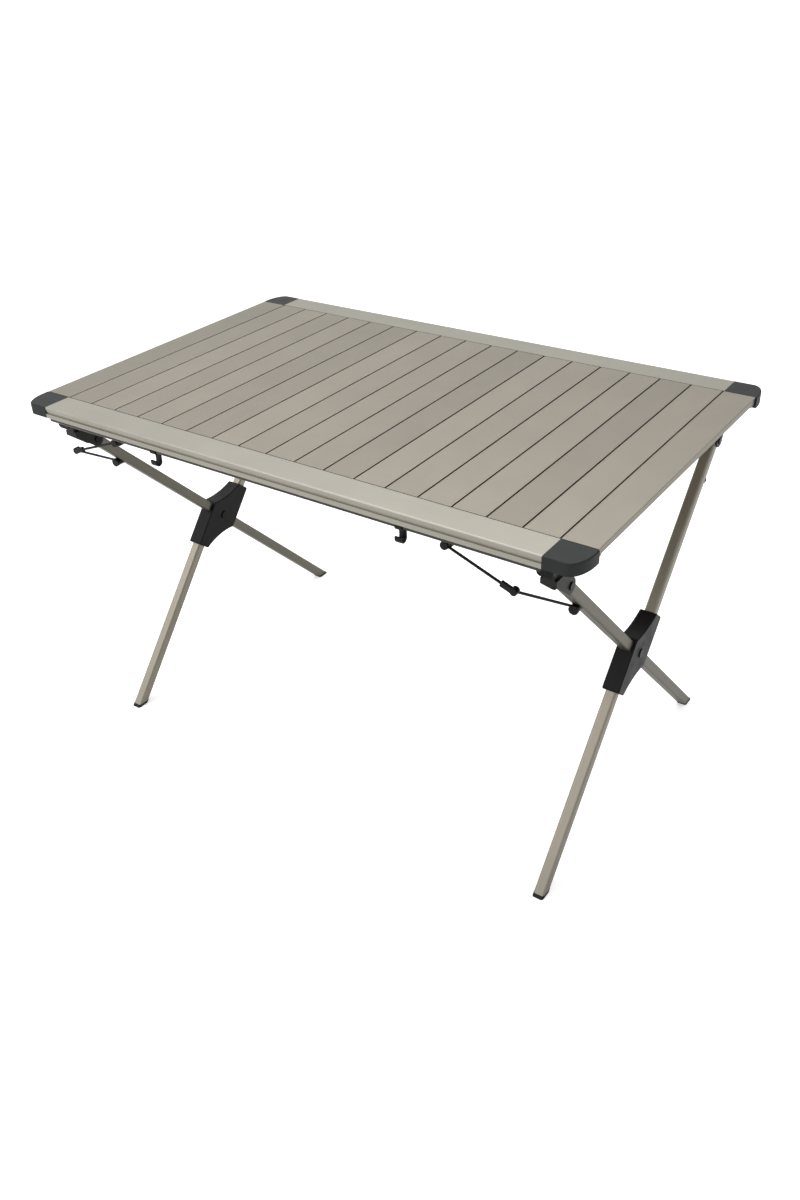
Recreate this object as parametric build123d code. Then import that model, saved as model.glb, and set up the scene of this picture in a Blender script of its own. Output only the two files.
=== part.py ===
from build123d import *

import math
import os

# Camp kitchen table with a roll-up slatted top and two folding X-shaped leg frames.
# Units are millimetres.  The origin is on the floor under the centre of the table:
# +X runs along the two long rails, +Z is up, and the front of the table faces -Y.

# ---- Driving dimensions -----------------------------------------------------

TABLE_LENGTH = 1104.0
TABLE_WIDTH = 712.0
TOP_Z = 704.0

# Slatted top
SLAT_COUNT = 19
SLAT_PITCH = 58.0
SLAT_WIDTH = 55.4
SLAT_THICK = 12.0
SLAT_WALL = 1.1
SLAT_HALF_LENGTH = 300.5
HINGE_DEPTH = 5.8
BEAD_RADIUS = 2.4
SOCKET_RADIUS = 2.45
SOCKET_OUTER = 3.65
NECK_THICK = 1.4
ROLL_STEP = 17.0

# Long rails
RAIL_WIDTH = 54.0
RAIL_HEIGHT = 13.0
RAIL_WALL = 2.0
RAIL_HALF_LENGTH = 494.0
LEDGE_REACH = 14.0
LEDGE_THICK = 2.8
LEDGE_SEAT = 24.0
SIT_GAP = 0.3
RAIL_UNDERCUT = 2.5
LIP_THICK = 3.5
LIP_BOTTOM_Z = 684.2
SIDE_ROD_RADIUS = 4.0
SIDE_ROD_Y = 349.0
SIDE_ROD_Z = 680.0
SIDE_ROD_HALF_LENGTH = 490.0

# Corner caps and hinge blocks
CAP_HEIGHT = 20.0
CAP_ROUND_X = 24.0
CAP_ROUND_Y = 46.0
PLUG_LENGTH = 18.0
PLUG_GAP = 0.2
HINGE_X = 487.0
HINGE_Z = 668.0
HINGE_Y = 312.0
BLOCK_HALF_X = 13.0
BLOCK_OUTER_Y = 331.0
BLOCK_INNER_Y = 294.0
BLOCK_BOTTOM_Z = 656.0
PIN_RADIUS = 3.0
RUNNING_FIT = 0.05
LUG_WIDTH = 12.6
LUG_RADIUS = 9.0
SLOT_WIDTH = 15.0

# Leg frames: leg A is one straight tube, leg B is two parallel tubes with an offset
TUBE = 20.0
TUBE_ROUND = 4.0
TUBE_WALL = 1.6
LEG_A_FOOT_Y = 338.8
LEG_A_SLOPE = -0.993
LEG_B_FOOT_Y = -289.9
LEG_B_SLOPE = 0.839
LEG_B_SHIFT = 70.7
LEG_A_TOP_Z = 626.0
LEG_B_TOP_Z = 624.0
RIVET_Z = 615.0
RIVET_RADIUS = 4.0
FOOT_SIZE = 20.8
FOOT_PLUG = 16.6
FOOT_REACH = 22.0
FOOT_SOLE = 5.0

# Cross joint of each leg frame
JOINT_HALF_X = 16.0
ARM_WIDTH = 30.0
LOWER_ARM_END = -80.0
UPPER_ARM_END = 75.0
ARM_CORNER = 16.0
FLANK_MIDDLE = (42.0, -11.5)
TUBE_STOP = 16.0
CROSS_PIN_RADIUS = 5.0

# Folding braces
BRACE_RAIL_X = 336.0
BRACE_LEG_DROP = 120.0
BRACKET_Y = 338.9
UPPER_LINK = 119.0
BRACE_OUTER_Y = 343.5
BRACE_INNER_Y = 338.5
BRACE_ROD_RADIUS = 2.2
LINK_THICK = 5.0
EYE_RADIUS = 7.0
KNUCKLE_RADIUS = 6.0
LOCK_LENGTH = 22.0
LOCK_HEIGHT = 9.0
STUB_RADIUS = 4.0
STUB_COLLAR_RADIUS = 7.5
STUB_LENGTH = 14.5

# Storage hooks on the side rods
HOOK_X = (-233.0, 263.0)
HOOK_WIDTH = 12.0
HOOK_RADIUS = 7.5
HOOK_THICK = 3.0
HOOK_INSET = 0.5

# ---- Derived dimensions -----------------------------------------------------

HALF_LENGTH = TABLE_LENGTH / 2
HALF_WIDTH = TABLE_WIDTH / 2
RAIL_INNER_Y = HALF_WIDTH - RAIL_WIDTH
RAIL_BOTTOM_Z = TOP_Z - RAIL_HEIGHT
SLAT_BOTTOM_Z = TOP_Z - SLAT_THICK
CAP_BOTTOM_Z = TOP_Z - CAP_HEIGHT
BRACE_RUN = HINGE_X - BRACE_RAIL_X
BRACE_SPAN = math.hypot(BRACE_RUN, BRACE_LEG_DROP)
LOWER_LINK = UPPER_LINK - (BRACE_RUN - BRACE_LEG_DROP)
RAIL_CORNER = math.acos((UPPER_LINK ** 2 + BRACE_SPAN ** 2 - LOWER_LINK ** 2)
                        / (2 * UPPER_LINK * BRACE_SPAN))
UPPER_ANGLE = math.atan2(BRACE_LEG_DROP, BRACE_RUN) - RAIL_CORNER
KNUCKLE_X = BRACE_RAIL_X + UPPER_LINK * math.cos(UPPER_ANGLE)
KNUCKLE_Z = HINGE_Z - UPPER_LINK * math.sin(UPPER_ANGLE)
BRACE_LEG_Z = HINGE_Z - BRACE_LEG_DROP
LOWER_ANGLE = math.atan2(KNUCKLE_Z - BRACE_LEG_Z, HINGE_X - KNUCKLE_X)


def leg_a_y(z):
    """Y of leg A's centreline at height z."""
    return LEG_A_FOOT_Y + LEG_A_SLOPE * z


def leg_b_low_y(z):
    """Y of the lower leg B tube's centreline at height z."""
    return LEG_B_FOOT_Y + LEG_B_SLOPE * z


def leg_b_high_y(z):
    """Y of the upper leg B tube's centreline at height z."""
    return leg_b_low_y(z) + LEG_B_SHIFT


LEG_A_UP = Vector(0, LEG_A_SLOPE, 1).normalized()
LEG_B_UP = Vector(0, LEG_B_SLOPE, 1).normalized()
CROSS_Z = (LEG_A_FOOT_Y - LEG_B_FOOT_Y - LEG_B_SHIFT / 2) / (LEG_B_SLOPE - LEG_A_SLOPE)
CROSS = Vector(HINGE_X, leg_a_y(CROSS_Z), CROSS_Z)
ARM_OFFSET = LEG_B_SHIFT * LEG_B_UP.Z / 2

# ---- Small helpers ----------------------------------------------------------


def box_between(x0, x1, y0, y1, z0, z1):
    """A box given by its two limits along each axis."""
    centre = ((x0 + x1) / 2, (y0 + y1) / 2, (z0 + z1) / 2)
    return Pos(*centre) * Box(abs(x1 - x0), abs(y1 - y0), abs(z1 - z0))


def pin_along_y(x, z, radius, y0, y1):
    """A cylinder along Y between two Y values."""
    return Pos(x, (y0 + y1) / 2, z) * Rot(90, 0, 0) * Cylinder(radius, abs(y1 - y0))


def pin_along_x(y, z, radius, x0, x1):
    """A cylinder along X between two X values."""
    return Pos((x0 + x1) / 2, y, z) * Rot(0, 90, 0) * Cylinder(radius, abs(x1 - x0))


def rod_between(start, end, radius):
    """A round rod between two points."""
    axis = Vector(*end) - Vector(*start)
    plane = Plane(origin=start, z_dir=axis)
    return extrude(plane * Circle(radius), axis.length)


def square_bar(base, direction, length, size, corner):
    """A square bar with round corners that stays flat to the X axis."""
    plane = Plane(origin=base, x_dir=(1, 0, 0), z_dir=direction)
    return extrude(plane * RectangleRounded(size, size, corner), length)


def square_tube(base, direction, length):
    """A hollow leg tube."""
    inner = TUBE - 2 * TUBE_WALL
    outside = square_bar(base, direction, length, TUBE, TUBE_ROUND)
    inside = square_bar(base, direction, length, inner, TUBE_ROUND - TUBE_WALL)
    return outside - inside


def above(z):
    """A large block that fills the space above a height."""
    reach = 2 * TABLE_LENGTH
    return box_between(-reach, reach, -reach, reach, z, z + reach)


def front_and_back(solid):
    """A front piece and its mirrored back piece."""
    return {"front": solid, "back": mirror(solid, about=Plane.XZ)}


def right_and_left(solid):
    """A right-hand piece and its mirrored left-hand piece."""
    return {"right": solid, "left": mirror(solid, about=Plane.YZ)}


def save(name, shape):
    """Write one node, either one solid or a list of separate solids."""
    if isinstance(shape, list):
        solids = [solid for item in shape for solid in item.solids()]
        shape = Compound(children=solids)
    export_step(shape, f"parts/{name}.step")


# ---- Slatted top ------------------------------------------------------------


def slat_section(has_bead, has_socket):
    """Hollow slat section in the XZ plane, centred on the slat, top face at Z = 0."""
    half = SLAT_WIDTH / 2
    left = -half + 5.5 if has_bead else -half + 1.0
    right = half - 2.2 if has_socket else half - 1.0
    depth = SLAT_THICK
    wall = SLAT_WALL
    edge_round = 0.8
    skin = Pos(0, -wall / 2) * Rectangle(SLAT_WIDTH, wall)
    skin = fillet(skin.vertices().group_by(Axis.Y)[-1], edge_round)
    shell = Pos((left + right) / 2, -depth / 2) * Rectangle(right - left, depth)
    for room in range(3):
        clear = (right - left - 4 * wall) / 3
        middle = left + wall + clear / 2 + room * (clear + wall)
        shell -= Pos(middle, -depth / 2) * Rectangle(clear, depth - 2 * wall)
    section = skin + shell
    axis = half + (SLAT_PITCH - SLAT_WIDTH) / 2
    if has_bead:
        neck = axis + left
        section += Pos(left - neck / 2, -HINGE_DEPTH) * Rectangle(neck, NECK_THICK)
        section += Pos(-axis, -HINGE_DEPTH) * Circle(BEAD_RADIUS)
    if has_socket:
        mouth_points = [(0, 0)]
        for degrees in (-28.0, ROLL_STEP / 2, ROLL_STEP + 28.0):
            angle = math.radians(degrees)
            mouth_points.append((8 * math.cos(angle), 8 * math.sin(angle)))
        ring = Circle(SOCKET_OUTER) - Circle(SOCKET_RADIUS)
        ring -= make_face(Polyline(*mouth_points, close=True))
        section += Pos(axis, -HINGE_DEPTH) * ring
    return section


def slat(number):
    """One slat; number 1 is the fixed one at the right-hand end."""
    section = slat_section(number < SLAT_COUNT, number > 1)
    centre_x = ((SLAT_COUNT + 1) / 2 - number) * SLAT_PITCH
    place = Plane.XZ.offset(-SLAT_HALF_LENGTH) * section
    return Pos(centre_x, 0, TOP_Z) * extrude(place, 2 * SLAT_HALF_LENGTH)


# ---- Long rails, side rods, caps  -------------------------------------------


def rail():
    """Front rail: a hollow bar along the slat ends."""
    middle_y = -HALF_WIDTH + RAIL_WIDTH / 2
    corners = [(-HALF_WIDTH, TOP_Z), (-RAIL_INNER_Y, TOP_Z), (-RAIL_INNER_Y, RAIL_BOTTOM_Z),
               (-HALF_WIDTH + RAIL_UNDERCUT, RAIL_BOTTOM_Z)]
    bar = make_face(Polyline(*corners, close=True))
    bar = fillet(bar.vertices().sort_by(Axis.X)[0], 2.5)
    lip_height = RAIL_BOTTOM_Z + 1.0 - LIP_BOTTOM_Z
    lip = Rectangle(LIP_THICK, lip_height)
    bar += Pos(-HALF_WIDTH + LIP_THICK / 2, LIP_BOTTOM_Z + lip_height / 2) * lip
    hollow = Rectangle(RAIL_WIDTH - 2 * RAIL_WALL - 2 * RAIL_UNDERCUT, RAIL_HEIGHT - 2 * RAIL_WALL)
    hollow = fillet(hollow.vertices(), 1.0)
    bar -= Pos(middle_y, TOP_Z - RAIL_HEIGHT / 2) * hollow
    start = Plane.YZ.offset(-RAIL_HALF_LENGTH) * bar
    return extrude(start, 2 * RAIL_HALF_LENGTH)


def rail_ledge():
    """Front strip under the rail; its raised lip carries the slat ends."""
    edge_y = -RAIL_INNER_Y + LEDGE_REACH
    low_z = RAIL_BOTTOM_Z - LEDGE_THICK
    lip_z = SLAT_BOTTOM_Z - SIT_GAP
    lip_end = HALF_LENGTH - 4.0
    strip = box_between(-RAIL_HALF_LENGTH, RAIL_HALF_LENGTH, -RAIL_INNER_Y - LEDGE_SEAT, edge_y,
                        low_z, RAIL_BOTTOM_Z)
    strip += box_between(-lip_end, lip_end, -RAIL_INNER_Y, edge_y, low_z, lip_z)
    return strip + box_between(RAIL_HALF_LENGTH, lip_end, -RAIL_INNER_Y, edge_y, low_z, SLAT_BOTTOM_Z)


def side_rod():
    """Front thin round rod under the rail's lip."""
    centre = (-SIDE_ROD_HALF_LENGTH, -SIDE_ROD_Y, SIDE_ROD_Z)
    return rod_between(centre, (SIDE_ROD_HALF_LENGTH, -SIDE_ROD_Y, SIDE_ROD_Z), SIDE_ROD_RADIUS)


def corner_cap():
    """Front right cap: a rounded corner block with a plug that fills the rail's end."""
    cap = box_between(RAIL_HALF_LENGTH, HALF_LENGTH, -HALF_WIDTH, -RAIL_INNER_Y,
                      CAP_BOTTOM_Z, TOP_Z)
    round_x = HALF_LENGTH - CAP_ROUND_X
    round_y = -HALF_WIDTH + CAP_ROUND_Y
    square = box_between(round_x, HALF_LENGTH + 1, -HALF_WIDTH - 1, round_y, 0, TABLE_LENGTH)
    corner = Pos(round_x, round_y) * Ellipse(CAP_ROUND_X, CAP_ROUND_Y)
    cap -= square - extrude(corner, TABLE_LENGTH)
    rim = [e for e in cap.faces().sort_by(Axis.Z)[-1].edges()
           if e.center().X > RAIL_HALF_LENGTH + 1 and e.center().Y < -RAIL_INNER_Y - 1]
    cap = fillet(rim, 2.5)
    inset = RAIL_WALL + PLUG_GAP
    return cap + box_between(RAIL_HALF_LENGTH - PLUG_LENGTH, RAIL_HALF_LENGTH + 1,
                             -HALF_WIDTH + inset + RAIL_UNDERCUT + 1,
                             -RAIL_INNER_Y - inset - RAIL_UNDERCUT - 1,
                             RAIL_BOTTOM_Z + inset, TOP_Z - inset)


def hinge_block():
    """Front right clevis under the cap; its slot is open below and on the inner side."""
    x0 = HINGE_X - BLOCK_HALF_X
    x1 = HINGE_X + BLOCK_HALF_X
    block = box_between(x0, x1, -BLOCK_OUTER_Y, -BLOCK_INNER_Y, BLOCK_BOTTOM_Z, CAP_BOTTOM_Z)
    lower_edges = block.faces().sort_by(Axis.Z)[0].edges().filter_by(Axis.Y)
    block = fillet(lower_edges, 7.0)
    half_slot = SLOT_WIDTH / 2
    slot_top = HINGE_Z + LUG_RADIUS + 3.0
    block -= box_between(x0 - 1, x1 + 1, -HINGE_Y - half_slot, -HINGE_Y + half_slot,
                         BLOCK_BOTTOM_Z - 1, slot_top)
    return block - pin_along_y(HINGE_X, HINGE_Z, PIN_RADIUS, -BLOCK_OUTER_Y - 1, -BLOCK_INNER_Y + 1)


def hinge_pin():
    """Front right fold pin with a flat head on each cheek."""
    pin = pin_along_y(HINGE_X, HINGE_Z, PIN_RADIUS, -BLOCK_OUTER_Y, -BLOCK_INNER_Y)
    pin += pin_along_y(HINGE_X, HINGE_Z, 5.5, -BLOCK_OUTER_Y - 1.5, -BLOCK_OUTER_Y)
    return pin + pin_along_y(HINGE_X, HINGE_Z, 5.5, -BLOCK_INNER_Y, -BLOCK_INNER_Y + 1.5)


def brace_bracket():
    """Front right bracket under the rail with the pin of the upper brace link."""
    bracket = box_between(BRACE_RAIL_X - 8, BRACE_RAIL_X + 8, -BRACKET_Y, -BRACKET_Y + 12,
                          HINGE_Z - 8, RAIL_BOTTOM_Z)
    bracket = fillet(bracket.faces().sort_by(Axis.Z)[0].edges().filter_by(Axis.Y), 7.0)
    far = BRACE_OUTER_Y + 2.5 + SIT_GAP
    bracket += pin_along_y(BRACE_RAIL_X, HINGE_Z, PIN_RADIUS, -far, -BRACKET_Y)
    return bracket + pin_along_y(BRACE_RAIL_X, HINGE_Z, 6.5, -far - 2.0, -far)


def storage_hook(x):
    """Front J hook that hangs from a clip round the side rod."""
    clip_height = 20.0
    inner = HOOK_RADIUS - HOOK_THICK
    ring = Circle(HOOK_RADIUS) - Circle(inner)
    ring -= Pos(0, HOOK_RADIUS) * Rectangle(4 * HOOK_RADIUS, 2 * HOOK_RADIUS)
    middle = (HOOK_RADIUS + inner) / 2
    stem = Pos(middle, 9.0) * Rectangle(HOOK_THICK, 18.0)
    tip = Pos(-middle, 2.0) * Rectangle(HOOK_THICK, 4.0)
    clip = Circle(SIDE_ROD_RADIUS + 2.2) - Circle(SIDE_ROD_RADIUS + RUNNING_FIT)
    clip -= Pos(0, 2 * SIDE_ROD_RADIUS - 0.2) * Rectangle(4 * HOOK_RADIUS, 2 * SIDE_ROD_RADIUS)
    outline = Pos(HOOK_INSET, 0) * (ring + stem + tip) + Pos(0, clip_height) * clip
    outline = Pos(-SIDE_ROD_Y, SIDE_ROD_Z - clip_height) * outline
    return extrude(Plane.YZ.offset(x - HOOK_WIDTH / 2) * outline, HOOK_WIDTH)


# ---- Right-hand leg frame ---------------------------------------------------


def leg_bar(y_at, direction, size, corner):
    """A solid bar along a whole leg line, longer than the leg at both ends."""
    start = Vector(HINGE_X, y_at(-60.0), -60.0)
    return square_bar(start, direction, 1200, size, corner)


def leg_a():
    """The straight tube from the front hinge to the back foot."""
    top = Vector(HINGE_X, leg_a_y(LEG_A_TOP_Z), LEG_A_TOP_Z)
    length = (LEG_A_TOP_Z + 40) / LEG_A_UP.Z
    tube = square_tube(top - LEG_A_UP * length, LEG_A_UP, length) & above(FOOT_SOLE)
    tube -= pin_along_x(leg_a_y(RIVET_Z), RIVET_Z, RIVET_RADIUS, HINGE_X - 20, HINGE_X + 20)
    return tube - pin_along_x(CROSS.Y, CROSS.Z, CROSS_PIN_RADIUS, HINGE_X - 20, HINGE_X + 20)


def leg_b_lower():
    """The lower leg B tube, from the front foot into the cross joint."""
    top = CROSS - LEG_B_UP * TUBE_STOP - joint_normal() * ARM_OFFSET
    length = (top.Z + 40) / LEG_B_UP.Z
    return square_tube(top - LEG_B_UP * length, LEG_B_UP, length) & above(FOOT_SOLE)


def leg_b_upper():
    """The upper leg B tube, from the cross joint to the back hinge."""
    base = CROSS + LEG_B_UP * TUBE_STOP + joint_normal() * ARM_OFFSET
    length = (LEG_B_TOP_Z - base.Z) / LEG_B_UP.Z
    tube = square_tube(base, LEG_B_UP, length)
    rivet_y = leg_b_high_y(RIVET_Z)
    return tube - pin_along_x(rivet_y, RIVET_Z, RIVET_RADIUS, HINGE_X - 20, HINGE_X + 20)


def foot(y_at, direction):
    """A thin plastic end cap, cut flat on the floor, with a plug up inside the tube."""
    start = Vector(HINGE_X, y_at(-60.0), -60.0)
    sole = leg_bar(y_at, direction, FOOT_SIZE, TUBE_ROUND) & above(0)
    plug = square_bar(start, direction, (60.0 + FOOT_REACH) / direction.Z, FOOT_PLUG, 2.2)
    return sole - above(FOOT_SOLE) + (plug & above(0))


def joint_normal():
    """In-plane normal of leg B, from the lower tube's line to the upper one's."""
    return Vector(0, LEG_B_UP.Z, -LEG_B_UP.Y)


def joint_outline():
    """Outline of the cross joint, along leg B by across it, with two hollow flanks."""
    near = ARM_OFFSET - ARM_WIDTH / 2
    far = ARM_OFFSET + ARM_WIDTH / 2
    low_arm = [(LOWER_ARM_END, -near), (LOWER_ARM_END, -far), (ARM_CORNER, -far)]
    high_arm = [(UPPER_ARM_END, near), (UPPER_ARM_END, far), (-ARM_CORNER, far)]
    along, across = FLANK_MIDDLE
    edges = [*Polyline(*low_arm).edges(), *Polyline(*high_arm).edges(),
             ThreePointArc(low_arm[-1], (along, across), high_arm[0]),
             ThreePointArc(high_arm[-1], (-along, -across), low_arm[0])]
    outline = make_face(edges)
    bends = [v for v in outline.vertices() if abs(v.X) < ARM_CORNER + 1]
    outline = fillet(bends, 9.0)
    ends = [v for v in outline.vertices() if abs(v.X) > UPPER_ARM_END - 1]
    return fillet(ends, 4.0)


def cross_shell(outer):
    """One moulded half of the cross joint, with seats for the three tubes."""
    plane = Plane(origin=CROSS, x_dir=LEG_B_UP, z_dir=(-1, 0, 0))
    outline = plane * joint_outline()
    depth = -JOINT_HALF_X if outer else JOINT_HALF_X
    shell = extrude(outline, depth)
    rim = shell.faces().sort_by(Axis.X)[-1 if outer else 0].edges()
    shell = fillet(rim, 2.0)
    shell -= leg_bar(leg_a_y, LEG_A_UP, TUBE + 0.6, TUBE_ROUND)
    lower_end = CROSS - LEG_B_UP * TUBE_STOP - joint_normal() * ARM_OFFSET
    upper_end = CROSS + LEG_B_UP * TUBE_STOP + joint_normal() * ARM_OFFSET
    shell -= square_bar(lower_end - LEG_B_UP * 200, LEG_B_UP, 200, TUBE, TUBE_ROUND)
    shell -= square_bar(upper_end, LEG_B_UP, 200, TUBE, TUBE_ROUND)
    return shell - pin_along_x(CROSS.Y, CROSS.Z, CROSS_PIN_RADIUS, HINGE_X - 30, HINGE_X + 30)


def cross_pin():
    """The pin through the cross joint and leg A, with a flat head at each end."""
    x0 = HINGE_X - JOINT_HALF_X
    x1 = HINGE_X + JOINT_HALF_X
    pin = pin_along_x(CROSS.Y, CROSS.Z, CROSS_PIN_RADIUS, x0, x1)
    pin += pin_along_x(CROSS.Y, CROSS.Z, 8.5, x1, x1 + 2)
    return pin + pin_along_x(CROSS.Y, CROSS.Z, 8.5, x0 - 2, x0)


def yoke(side, rivet_y):
    """Bracket from the fold pin to the leg: a lug, a bridge and two side plates."""
    cheek = 3.0
    x0 = HINGE_X - TUBE / 2
    x1 = HINGE_X + TUBE / 2
    outer = HINGE_Y + LUG_WIDTH / 2
    inner = HINGE_Y - 23.0
    bridge_low = 636.0
    bridge_high = 645.5
    lug = pin_along_y(HINGE_X, HINGE_Z, LUG_RADIUS, side * (HINGE_Y - LUG_WIDTH / 2), side * outer)
    lug += box_between(HINGE_X - LUG_RADIUS, HINGE_X + LUG_RADIUS, side * (outer - LUG_WIDTH),
                       side * outer, bridge_high - 1, HINGE_Z)
    lug -= pin_along_y(HINGE_X, HINGE_Z, PIN_RADIUS + RUNNING_FIT, side * 300, side * 360)
    lug += box_between(x0 - cheek, x1 + cheek, side * inner, side * outer, bridge_low, bridge_high)
    corners = [(side * inner, bridge_high), (side * outer, bridge_high), (side * outer, bridge_low)]
    blank = Polyline(*corners, (rivet_y, RIVET_Z), close=True)
    plate = make_face(blank) + Pos(rivet_y, RIVET_Z) * Circle(13.0)
    plate = make_hull(plate.edges())
    for start in (x0 - cheek, x1):
        lug += extrude(Plane.YZ.offset(start) * plate, cheek)
    return lug - pin_along_x(rivet_y, RIVET_Z, RIVET_RADIUS, x0 - 10, x1 + 10)


def leg_rivet(y):
    """The rivet that holds a yoke's two plates and the tube between them."""
    plate = TUBE / 2 + 3.0
    rivet = pin_along_x(y, RIVET_Z, RIVET_RADIUS, HINGE_X - plate, HINGE_X + plate)
    rivet += pin_along_x(y, RIVET_Z, 6.5, HINGE_X + plate, HINGE_X + plate + 2)
    return rivet + pin_along_x(y, RIVET_Z, 6.5, HINGE_X - plate - 2, HINGE_X - plate)


def leg_face_y(side, leg_y, direction):
    """Y of a leg tube's outer face at the height where leg_y is its centreline."""
    return leg_y + side * TUBE / 2 / direction.Z


def brace_stub(side, leg_y, y_at, direction):
    """Stub axle on the outer face of a leg, with a round collar behind the link's eye."""
    face_y = leg_face_y(side, leg_y, direction)
    tip = face_y + side * STUB_LENGTH
    collar_end = tip - side * (LINK_THICK + SIT_GAP)
    stub = pin_along_y(HINGE_X, BRACE_LEG_Z, STUB_RADIUS, leg_y, tip)
    stub += pin_along_y(HINGE_X, BRACE_LEG_Z, STUB_COLLAR_RADIUS, leg_y, collar_end)
    return stub - leg_bar(y_at, direction, TUBE, TUBE_ROUND)


def stub_eye_y(side, leg_y, direction):
    """Middle of the lower link's eye on the stub axle."""
    return leg_face_y(side, leg_y, direction) + side * (STUB_LENGTH - LINK_THICK / 2)


# ---- Braces ------------------------------------------------------------------


def eye(x, z, radius, y, width):
    """A round end disc about a Y axis."""
    return pin_along_y(x, z, radius, y - width / 2, y + width / 2)


def upper_link(side):
    """Rail link: a rod in one plane from the rail bracket to the knuckle."""
    y = side * BRACE_OUTER_Y
    link = rod_between((BRACE_RAIL_X, y, HINGE_Z), (KNUCKLE_X, y, KNUCKLE_Z), BRACE_ROD_RADIUS)
    link += eye(BRACE_RAIL_X, HINGE_Z, EYE_RADIUS, y, LINK_THICK)
    link += eye(KNUCKLE_X, KNUCKLE_Z, KNUCKLE_RADIUS, y, LINK_THICK)
    lock_x = KNUCKLE_X - LOCK_LENGTH / 2 * math.cos(UPPER_ANGLE)
    lock_z = KNUCKLE_Z + LOCK_LENGTH / 2 * math.sin(UPPER_ANGLE)
    lock = Box(LOCK_LENGTH, LINK_THICK, LOCK_HEIGHT)
    link += Pos(lock_x, y, lock_z) * Rot(0, math.degrees(UPPER_ANGLE), 0) * lock
    return link - eye(BRACE_RAIL_X, HINGE_Z, PIN_RADIUS + RUNNING_FIT, y, 2 * LINK_THICK)


def lower_link(side, eye_y):
    """Leg link: a rod from the knuckle to the eye on the leg's stub axle."""
    y = side * BRACE_INNER_Y
    width = LINK_THICK - 1.0
    reach = STUB_RADIUS + 2.0
    along_x = math.cos(LOWER_ANGLE)
    along_z = math.sin(LOWER_ANGLE)
    start = (KNUCKLE_X + 2.5 * along_x, y, KNUCKLE_Z - 2.5 * along_z)
    end = (HINGE_X - reach * along_x, eye_y, BRACE_LEG_Z + reach * along_z)
    link = rod_between(start, end, BRACE_ROD_RADIUS)
    link -= box_between(0, HALF_LENGTH, y + side * width / 2, y + side * 20, 0, TOP_Z)
    link += eye(KNUCKLE_X, KNUCKLE_Z, KNUCKLE_RADIUS, y, width)
    link += eye(HINGE_X, BRACE_LEG_Z, EYE_RADIUS + 1, eye_y, LINK_THICK)
    return link - eye(HINGE_X, BRACE_LEG_Z, STUB_RADIUS + RUNNING_FIT, eye_y, 2 * LINK_THICK)


# ---- Write every node --------------------------------------------------------


def write_top():
    """Slats, rails, side rods, caps, hinge blocks, brackets and hooks."""
    for number in range(1, SLAT_COUNT + 1):
        save(f"slat_{number:02d}", slat(number))
    for place, solid in front_and_back(rail()).items():
        save(f"{place}_rail", solid)
    save("side_rods", list(front_and_back(side_rod()).values()))
    save("rail_ledges", list(front_and_back(rail_ledge()).values()))
    for place, cap in front_and_back(corner_cap()).items():
        for end, solid in right_and_left(cap).items():
            save(f"{place}_{end}_corner_cap", solid)
    for place, block in front_and_back(hinge_block()).items():
        for end, solid in right_and_left(block).items():
            save(f"{place}_{end}_hinge_block", solid)
    pins = []
    brackets = []
    for pin in front_and_back(hinge_pin()).values():
        pins += list(right_and_left(pin).values())
    for bracket in front_and_back(brace_bracket()).values():
        brackets += list(right_and_left(bracket).values())
    hooks = []
    for x in HOOK_X:
        hooks += list(front_and_back(storage_hook(x)).values())
    save("hinge_pins", pins)
    save("brace_brackets", brackets)
    save("storage_hooks", hooks)


def write_leg_frames():
    """Both leg frames with their braces."""
    front_y = leg_a_y(RIVET_Z)
    back_y = leg_b_high_y(RIVET_Z)
    front_leg_y = leg_a_y(BRACE_LEG_Z)
    back_leg_y = leg_b_high_y(BRACE_LEG_Z)
    stubs = [brace_stub(-1, front_leg_y, leg_a_y, LEG_A_UP),
             brace_stub(1, back_leg_y, leg_b_high_y, LEG_B_UP)]
    pieces = {
        "leg_a": leg_a(),
        "leg_b_lower": leg_b_lower(),
        "leg_b_upper": leg_b_upper(),
        "cross_shell_outer": cross_shell(True),
        "cross_shell_inner": cross_shell(False),
        "front_yoke": yoke(-1, front_y),
        "back_yoke": yoke(1, back_y),
        "leg_pins": [cross_pin(), leg_rivet(front_y), leg_rivet(back_y)] + stubs,
        "feet": [foot(leg_a_y, LEG_A_UP), foot(leg_b_low_y, LEG_B_UP)],
        "front_upper_link": upper_link(-1),
        "back_upper_link": upper_link(1),
        "front_lower_link": lower_link(-1, stub_eye_y(-1, front_leg_y, LEG_A_UP)),
        "back_lower_link": lower_link(1, stub_eye_y(1, back_leg_y, LEG_B_UP)),
    }
    for name, piece in pieces.items():
        items = piece if isinstance(piece, list) else [piece]
        save(f"right_{name}", piece)
        mirrored = [mirror(item, about=Plane.YZ) for item in items]
        save(f"left_{name}", mirrored if isinstance(piece, list) else mirrored[0])


os.makedirs("parts", exist_ok=True)
write_top()
write_leg_frames()
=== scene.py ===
import math

import bpy
from mathutils import Euler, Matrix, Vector


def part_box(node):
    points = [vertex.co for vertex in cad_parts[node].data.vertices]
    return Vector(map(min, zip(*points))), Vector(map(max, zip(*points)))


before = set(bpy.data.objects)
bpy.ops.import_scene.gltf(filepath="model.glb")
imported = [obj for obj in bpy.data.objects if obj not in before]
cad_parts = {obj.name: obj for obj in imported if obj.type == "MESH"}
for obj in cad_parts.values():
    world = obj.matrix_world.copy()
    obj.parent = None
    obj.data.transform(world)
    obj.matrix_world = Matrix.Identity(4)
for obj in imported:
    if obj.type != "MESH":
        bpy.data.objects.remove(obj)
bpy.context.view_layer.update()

# Looks of the camp kitchen table: camera, studio and materials.
# Everything is in metres, in the table's own frame: +X along the rails, the front faces -Y,
# +Z up and the origin on the floor under the middle of the top.

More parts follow.
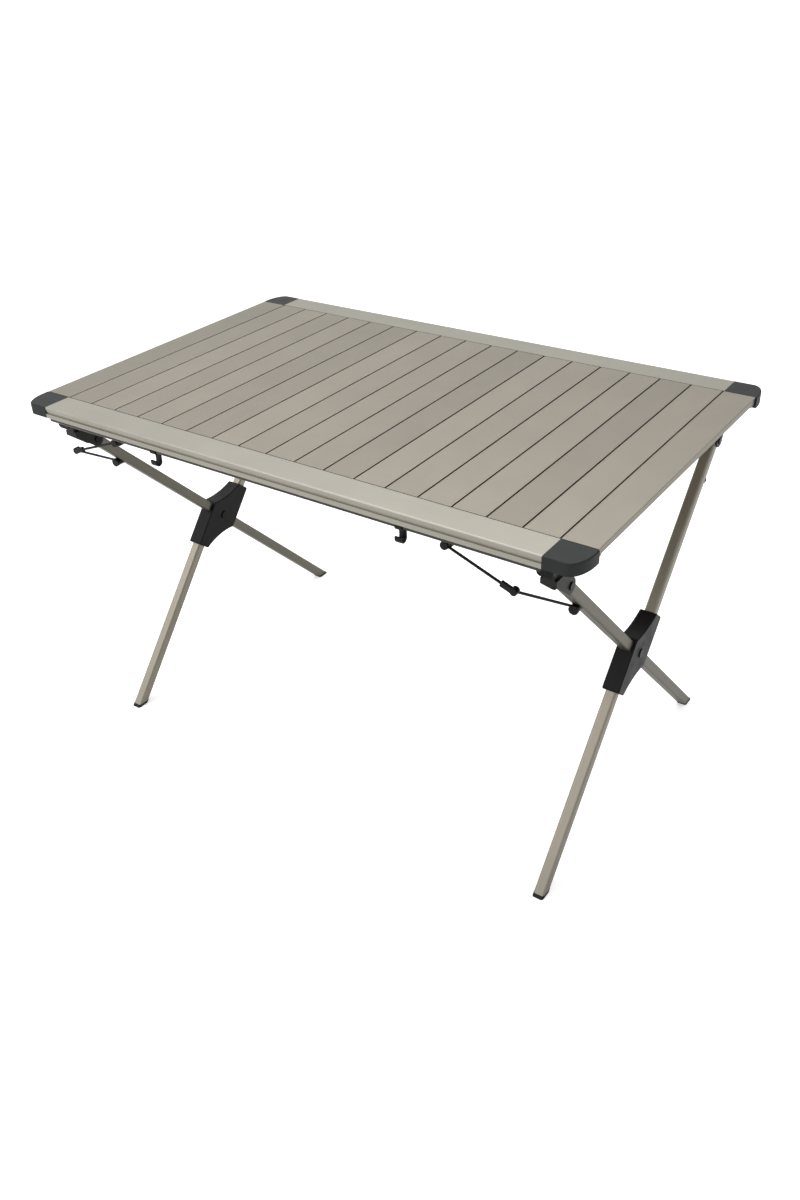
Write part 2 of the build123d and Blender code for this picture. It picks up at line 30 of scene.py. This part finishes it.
CAMERA_PLACE = (1.0510, -1.4436, 1.4233)
CAMERA_TURN = (57.165, 1.909, 34.706)  # degrees about X, Y and Z
CAMERA_LENS = 32.19  # millimetres
CAMERA_SENSOR = 36.0

WHITE = (1, 1, 1, 1)
FLOOR_REACH = 60.0
FLOOR_COLOUR = (0.93, 0.93, 0.93, 1)
FLOOR_GLOW = 0.45
LIGHT_FROM = Vector((-0.50, -0.25, 0.83))
WORLD_SEEN = 1.3
WORLD_BRIGHT = 0.95
WORLD_DARK = 0.08
WORLD_EDGE = 0.7
PLASTIC_SHEEN = 0.2
SIDES = ("right", "left")
PLACES = ("front", "back")

slats = sorted(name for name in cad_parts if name.startswith("slat_"))


# ---- Camera -------------------------------------------------------------------


def make_camera():
    """A camera above the front right corner, looking down across the table."""
    data = bpy.data.cameras.new("camera")
    data.lens = CAMERA_LENS
    data.sensor_width = CAMERA_SENSOR
    camera = bpy.data.objects.new("camera", data)
    camera.location = CAMERA_PLACE
    camera.rotation_euler = Euler([math.radians(angle) for angle in CAMERA_TURN])
    bpy.context.scene.collection.objects.link(camera)
    bpy.context.scene.camera = camera


# ---- Studio --------------------------------------------------------------------


def make_floor():
    """A plain pale floor that reaches well past the view and glows a little to the camera."""
    reach = FLOOR_REACH
    mesh = bpy.data.meshes.new("floor")
    corners = [(-reach, -reach, 0), (reach, -reach, 0), (reach, reach, 0), (-reach, reach, 0)]
    mesh.from_pydata(corners, [], [(0, 1, 2, 3)])
    floor = bpy.data.objects.new("floor", mesh)
    bpy.context.scene.collection.objects.link(floor)
    material, shader = new_material("floor_paper", roughness=0.9)
    shader.inputs["Base Color"].default_value = FLOOR_COLOUR
    shader.inputs["Emission Color"].default_value = WHITE
    path = add_node(material, "ShaderNodeLightPath")
    glow = add_node(material, "ShaderNodeMath")
    glow.operation = "MULTIPLY"
    glow.inputs[1].default_value = FLOOR_GLOW
    link(material, path.outputs["Is Camera Ray"], glow.inputs[0])
    link(material, glow.outputs["Value"], shader.inputs["Emission Strength"])
    mesh.materials.append(material)


def make_world():
    """White behind the table; its light falls off from the upper left to the lower right."""
    world = bpy.data.worlds.new("studio")
    world.use_nodes = True
    nodes = world.node_tree.nodes
    links = world.node_tree.links
    background = nodes["Background"]
    background.inputs["Color"].default_value = WHITE
    way = nodes.new("ShaderNodeTexCoord")
    part = nodes.new("ShaderNodeVectorMath")
    part.operation = "DOT_PRODUCT"
    part.inputs[1].default_value = LIGHT_FROM
    ramp = nodes.new("ShaderNodeMapRange")
    ramp.inputs["From Min"].default_value = -WORLD_EDGE
    ramp.inputs["From Max"].default_value = WORLD_EDGE
    ramp.inputs["To Min"].default_value = WORLD_DARK
    ramp.inputs["To Max"].default_value = WORLD_BRIGHT
    path = nodes.new("ShaderNodeLightPath")
    choose = nodes.new("ShaderNodeMix")
    choose.inputs["B"].default_value = WORLD_SEEN
    links.new(way.outputs["Generated"], part.inputs[0])
    links.new(part.outputs["Value"], ramp.inputs["Value"])
    links.new(path.outputs["Is Camera Ray"], choose.inputs["Factor"])
    links.new(ramp.outputs["Result"], choose.inputs["A"])
    links.new(choose.outputs["Result"], background.inputs["Strength"])
    bpy.context.scene.world = world


def soft_light(name, place, target, size, power):
    """A square softbox that points at a target."""
    data = bpy.data.lights.new(name, "AREA")
    data.size = size
    data.energy = power
    light = bpy.data.objects.new(name, data)
    light.location = place
    light.rotation_euler = (Vector(target) - Vector(place)).to_track_quat("-Z", "Y").to_euler()
    bpy.context.scene.collection.objects.link(light)


def make_studio():
    """Floor, surrounding light and two softboxes."""
    make_floor()
    make_world()
    soft_light("key_light", (-2.0, -2.6, 2.8), (0, 0, 0.5), 2.2, 30)
    soft_light("top_light", (-0.6, 0.8, 3.4), (0, 0, 0.6), 3.0, 55)
    bpy.context.scene.view_settings.view_transform = "Standard"


# ---- Material building blocks ----------------------------------------------------


def new_material(name, roughness=0.5, metallic=0.0):
    """A material with one Principled shader."""
    material = bpy.data.materials.new(name)
    material.use_nodes = True
    shader = material.node_tree.nodes["Principled BSDF"]
    shader.inputs["Roughness"].default_value = roughness
    shader.inputs["Metallic"].default_value = metallic
    return material, shader


def add_node(material, kind, **sockets):
    """A new node with its input sockets set by name."""
    node = material.node_tree.nodes.new(kind)
    for name, value in sockets.items():
        node.inputs[name.replace("_", " ")].default_value = value
    return node


def link(material, source, target):
    """Joins two sockets."""
    material.node_tree.links.new(source, target)


def surface_point(material, scale=(1, 1, 1), turn=(0, 0, 0), shift=(0, 0, 0)):
    """The point on the piece, in its own coordinates, stretched and turned."""
    point = add_node(material, "ShaderNodeTexCoord")
    spin = add_node(material, "ShaderNodeMapping", Rotation=turn, Location=shift)
    stretch = add_node(material, "ShaderNodeMapping", Scale=scale)
    link(material, point.outputs["Object"], spin.inputs["Vector"])
    link(material, spin.outputs["Vector"], stretch.inputs["Vector"])
    return stretch.outputs["Vector"]


def noise(material, vector, scale, detail=3.0, rough=0.55):
    """Noise from 0 to 1."""
    node = add_node(material, "ShaderNodeTexNoise", Scale=scale, Detail=detail, Roughness=rough)
    link(material, vector, node.inputs["Vector"])
    return node.outputs["Fac"]


def spread(material, value, low, high):
    """Maps the middle of a 0 to 1 value onto a range."""
    node = add_node(material, "ShaderNodeMapRange")
    node.inputs["From Min"].default_value = 0.3
    node.inputs["From Max"].default_value = 0.7
    node.inputs["To Min"].default_value = low
    node.inputs["To Max"].default_value = high
    link(material, value, node.inputs["Value"])
    return node.outputs["Result"]


def tinted(material, colour, amount):
    """A colour multiplied by a varying amount."""
    node = add_node(material, "ShaderNodeVectorMath")
    node.operation = "SCALE"
    node.inputs[0].default_value = colour
    link(material, amount, node.inputs["Scale"])
    return node.outputs["Vector"]


def add_bump(material, shader, height, strength, distance):
    """Fine relief on a surface."""
    node = add_node(material, "ShaderNodeBump", Strength=strength, Distance=distance)
    link(material, height, node.inputs["Height"])
    link(material, node.outputs["Normal"], shader.inputs["Normal"])


# ---- Materials -------------------------------------------------------------------


def anodised(name, colour, grain, turn=(0, 0, 0), shift=(0, 0, 0), roughness=(0.38, 0.5)):
    """Satin anodised aluminium with fine brushing along one direction."""
    material, shader = new_material(name, metallic=0.9)
    point = surface_point(material, grain, turn, shift)
    streaks = noise(material, point, 1.0, detail=5.0, rough=0.65)
    cloud = noise(material, surface_point(material, shift=shift), 9.0, detail=2.0)
    amount = add_node(material, "ShaderNodeMath")
    amount.operation = "MULTIPLY"
    link(material, spread(material, streaks, 0.95, 1.05), amount.inputs[0])
    link(material, spread(material, cloud, 0.97, 1.03), amount.inputs[1])
    link(material, tinted(material, colour, amount.outputs["Value"]), shader.inputs["Base Color"])
    link(material, spread(material, streaks, *roughness), shader.inputs["Roughness"])
    add_bump(material, shader, streaks, 0.12, 0.00008)
    return material


def plastic(name, colour, roughness, grain=1400.0, relief=0.25):
    """Moulded plastic with a fine spark-eroded grain."""
    material, shader = new_material(name)
    point = surface_point(material)
    fine = noise(material, point, grain, detail=2.0)
    broad = noise(material, point, 45.0, detail=3.0)
    link(material, tinted(material, colour, spread(material, broad, 0.88, 1.12)),
         shader.inputs["Base Color"])
    shader.inputs["Specular IOR Level"].default_value = PLASTIC_SHEEN
    link(material, spread(material, broad, roughness - 0.05, roughness + 0.07),
         shader.inputs["Roughness"])
    add_bump(material, shader, fine, relief, 0.00015)
    return material


def coated_metal(name, colour, roughness, metallic=0.0):
    """Powder coat or dull metal with slight orange peel."""
    material, shader = new_material(name, metallic=metallic)
    point = surface_point(material)
    peel = noise(material, point, 700.0, detail=2.0)
    broad = noise(material, point, 60.0, detail=2.0)
    link(material, tinted(material, colour, spread(material, broad, 0.9, 1.1)),
         shader.inputs["Base Color"])
    shader.inputs["Specular IOR Level"].default_value = PLASTIC_SHEEN
    link(material, spread(material, peel, roughness - 0.06, roughness + 0.06),
         shader.inputs["Roughness"])
    add_bump(material, shader, peel, 0.2, 0.0001)
    return material


FINE = 1500.0
LONG = 14.0
ALONG_X = (LONG, FINE, FINE)
ALONG_Y = (FINE, LONG, FINE)
ALONG_Z = (FINE, FINE, LONG)

SLAT_COLOUR = (0.300, 0.274, 0.230)
RAIL_COLOUR = (0.370, 0.352, 0.304)
ROD_COLOUR = (0.060, 0.057, 0.050)
LEG_COLOUR = (0.330, 0.300, 0.250)
# Painted shade: leg A is the same aluminium as the other legs, darkened in its colour to stand
# for the shade it sits in.
LEG_A_PAINTED_SHADE_COLOUR = (0.170, 0.160, 0.130)
CAP_COLOUR = (0.020, 0.022, 0.0215)
BLACK_COLOUR = (0.0025, 0.0025, 0.0025)
YOKE_COLOUR = (0.020, 0.020, 0.019)
STEEL_COLOUR = (0.020, 0.020, 0.020)
FEET_COLOUR = (0.016, 0.016, 0.016)


def paint(node, material):
    """Puts one material on every face of a CAD node."""
    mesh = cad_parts[node].data
    mesh.materials.clear()
    mesh.materials.append(material)


def paint_slats():
    """Each slat has its own slight tone and its own run of brushing."""
    for index, name in enumerate(slats):
        tone = 1.0 + 0.045 * math.sin(2.4 * index) + 0.035 * math.sin(5.1 * index + 1.0)
        colour = [tone * c for c in SLAT_COLOUR]
        shift = (0.37 * index, 0.21 * index, 0.0)
        paint(name, anodised(f"{name}_anodised", colour, ALONG_Y, shift=shift))


def leg_turn(node):
    """The turn about X that brings a slanted tube upright."""
    low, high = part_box(node)
    lean = math.atan2(high.y - low.y, high.z - low.z)
    slant = 1 if node.endswith("leg_a") else -1
    return (-slant * lean, 0, 0)


def paint_frame():
    """Rails, rods, caps, hinge blocks and the fittings under the top."""
    rail = anodised("rail_anodised", RAIL_COLOUR, ALONG_X, roughness=(0.36, 0.46))
    rod = anodised("side_rod_anodised", ROD_COLOUR, ALONG_X, roughness=(0.3, 0.4))
    cap = plastic("cap_plastic", CAP_COLOUR, 0.48)
    black = plastic("black_plastic", BLACK_COLOUR, 0.42)
    steel = coated_metal("dull_steel", STEEL_COLOUR, 0.38, metallic=1.0)
    for place in PLACES:
        paint(f"{place}_rail", rail)
        for side in SIDES:
            paint(f"{place}_{side}_corner_cap", cap)
            paint(f"{place}_{side}_hinge_block", black)
    paint("side_rods", rod)
    paint("rail_ledges", rail)
    paint("brace_brackets", black)
    paint("storage_hooks", black)
    paint("hinge_pins", steel)
    return black, steel


def paint_legs(black, steel):
    """Both leg frames and their braces; the leg A tubes carry painted shade."""
    yoke = coated_metal("yoke_coat", YOKE_COLOUR, 0.42, metallic=0.3)
    rod = coated_metal("brace_coat", BLACK_COLOUR, 0.4)
    feet = plastic("feet_plastic", FEET_COLOUR, 0.62, grain=900.0, relief=0.4)
    for side in SIDES:
        for tube in ("leg_a", "leg_b_lower", "leg_b_upper"):
            node = f"{side}_{tube}"
            # Leg A tubes get the painted shade colour, a darker copy of the leg aluminium; the
            # other tubes get the plain leg colour.
            colour = LEG_A_PAINTED_SHADE_COLOUR if tube == "leg_a" else LEG_COLOUR
            paint(node, anodised(f"{node}_anodised", colour, ALONG_Z, turn=leg_turn(node)))
        for half in ("outer", "inner"):
            paint(f"{side}_cross_shell_{half}", black)
        for place in PLACES:
            paint(f"{side}_{place}_yoke", yoke)
            paint(f"{side}_{place}_upper_link", rod)
            paint(f"{side}_{place}_lower_link", rod)
        paint(f"{side}_leg_pins", steel)
        paint(f"{side}_feet", feet)


# ---- Put it together ---------------------------------------------------------------

make_camera()
make_studio()
paint_slats()
black_plastic, dull_steel = paint_frame()
paint_legs(black_plastic, dull_steel)
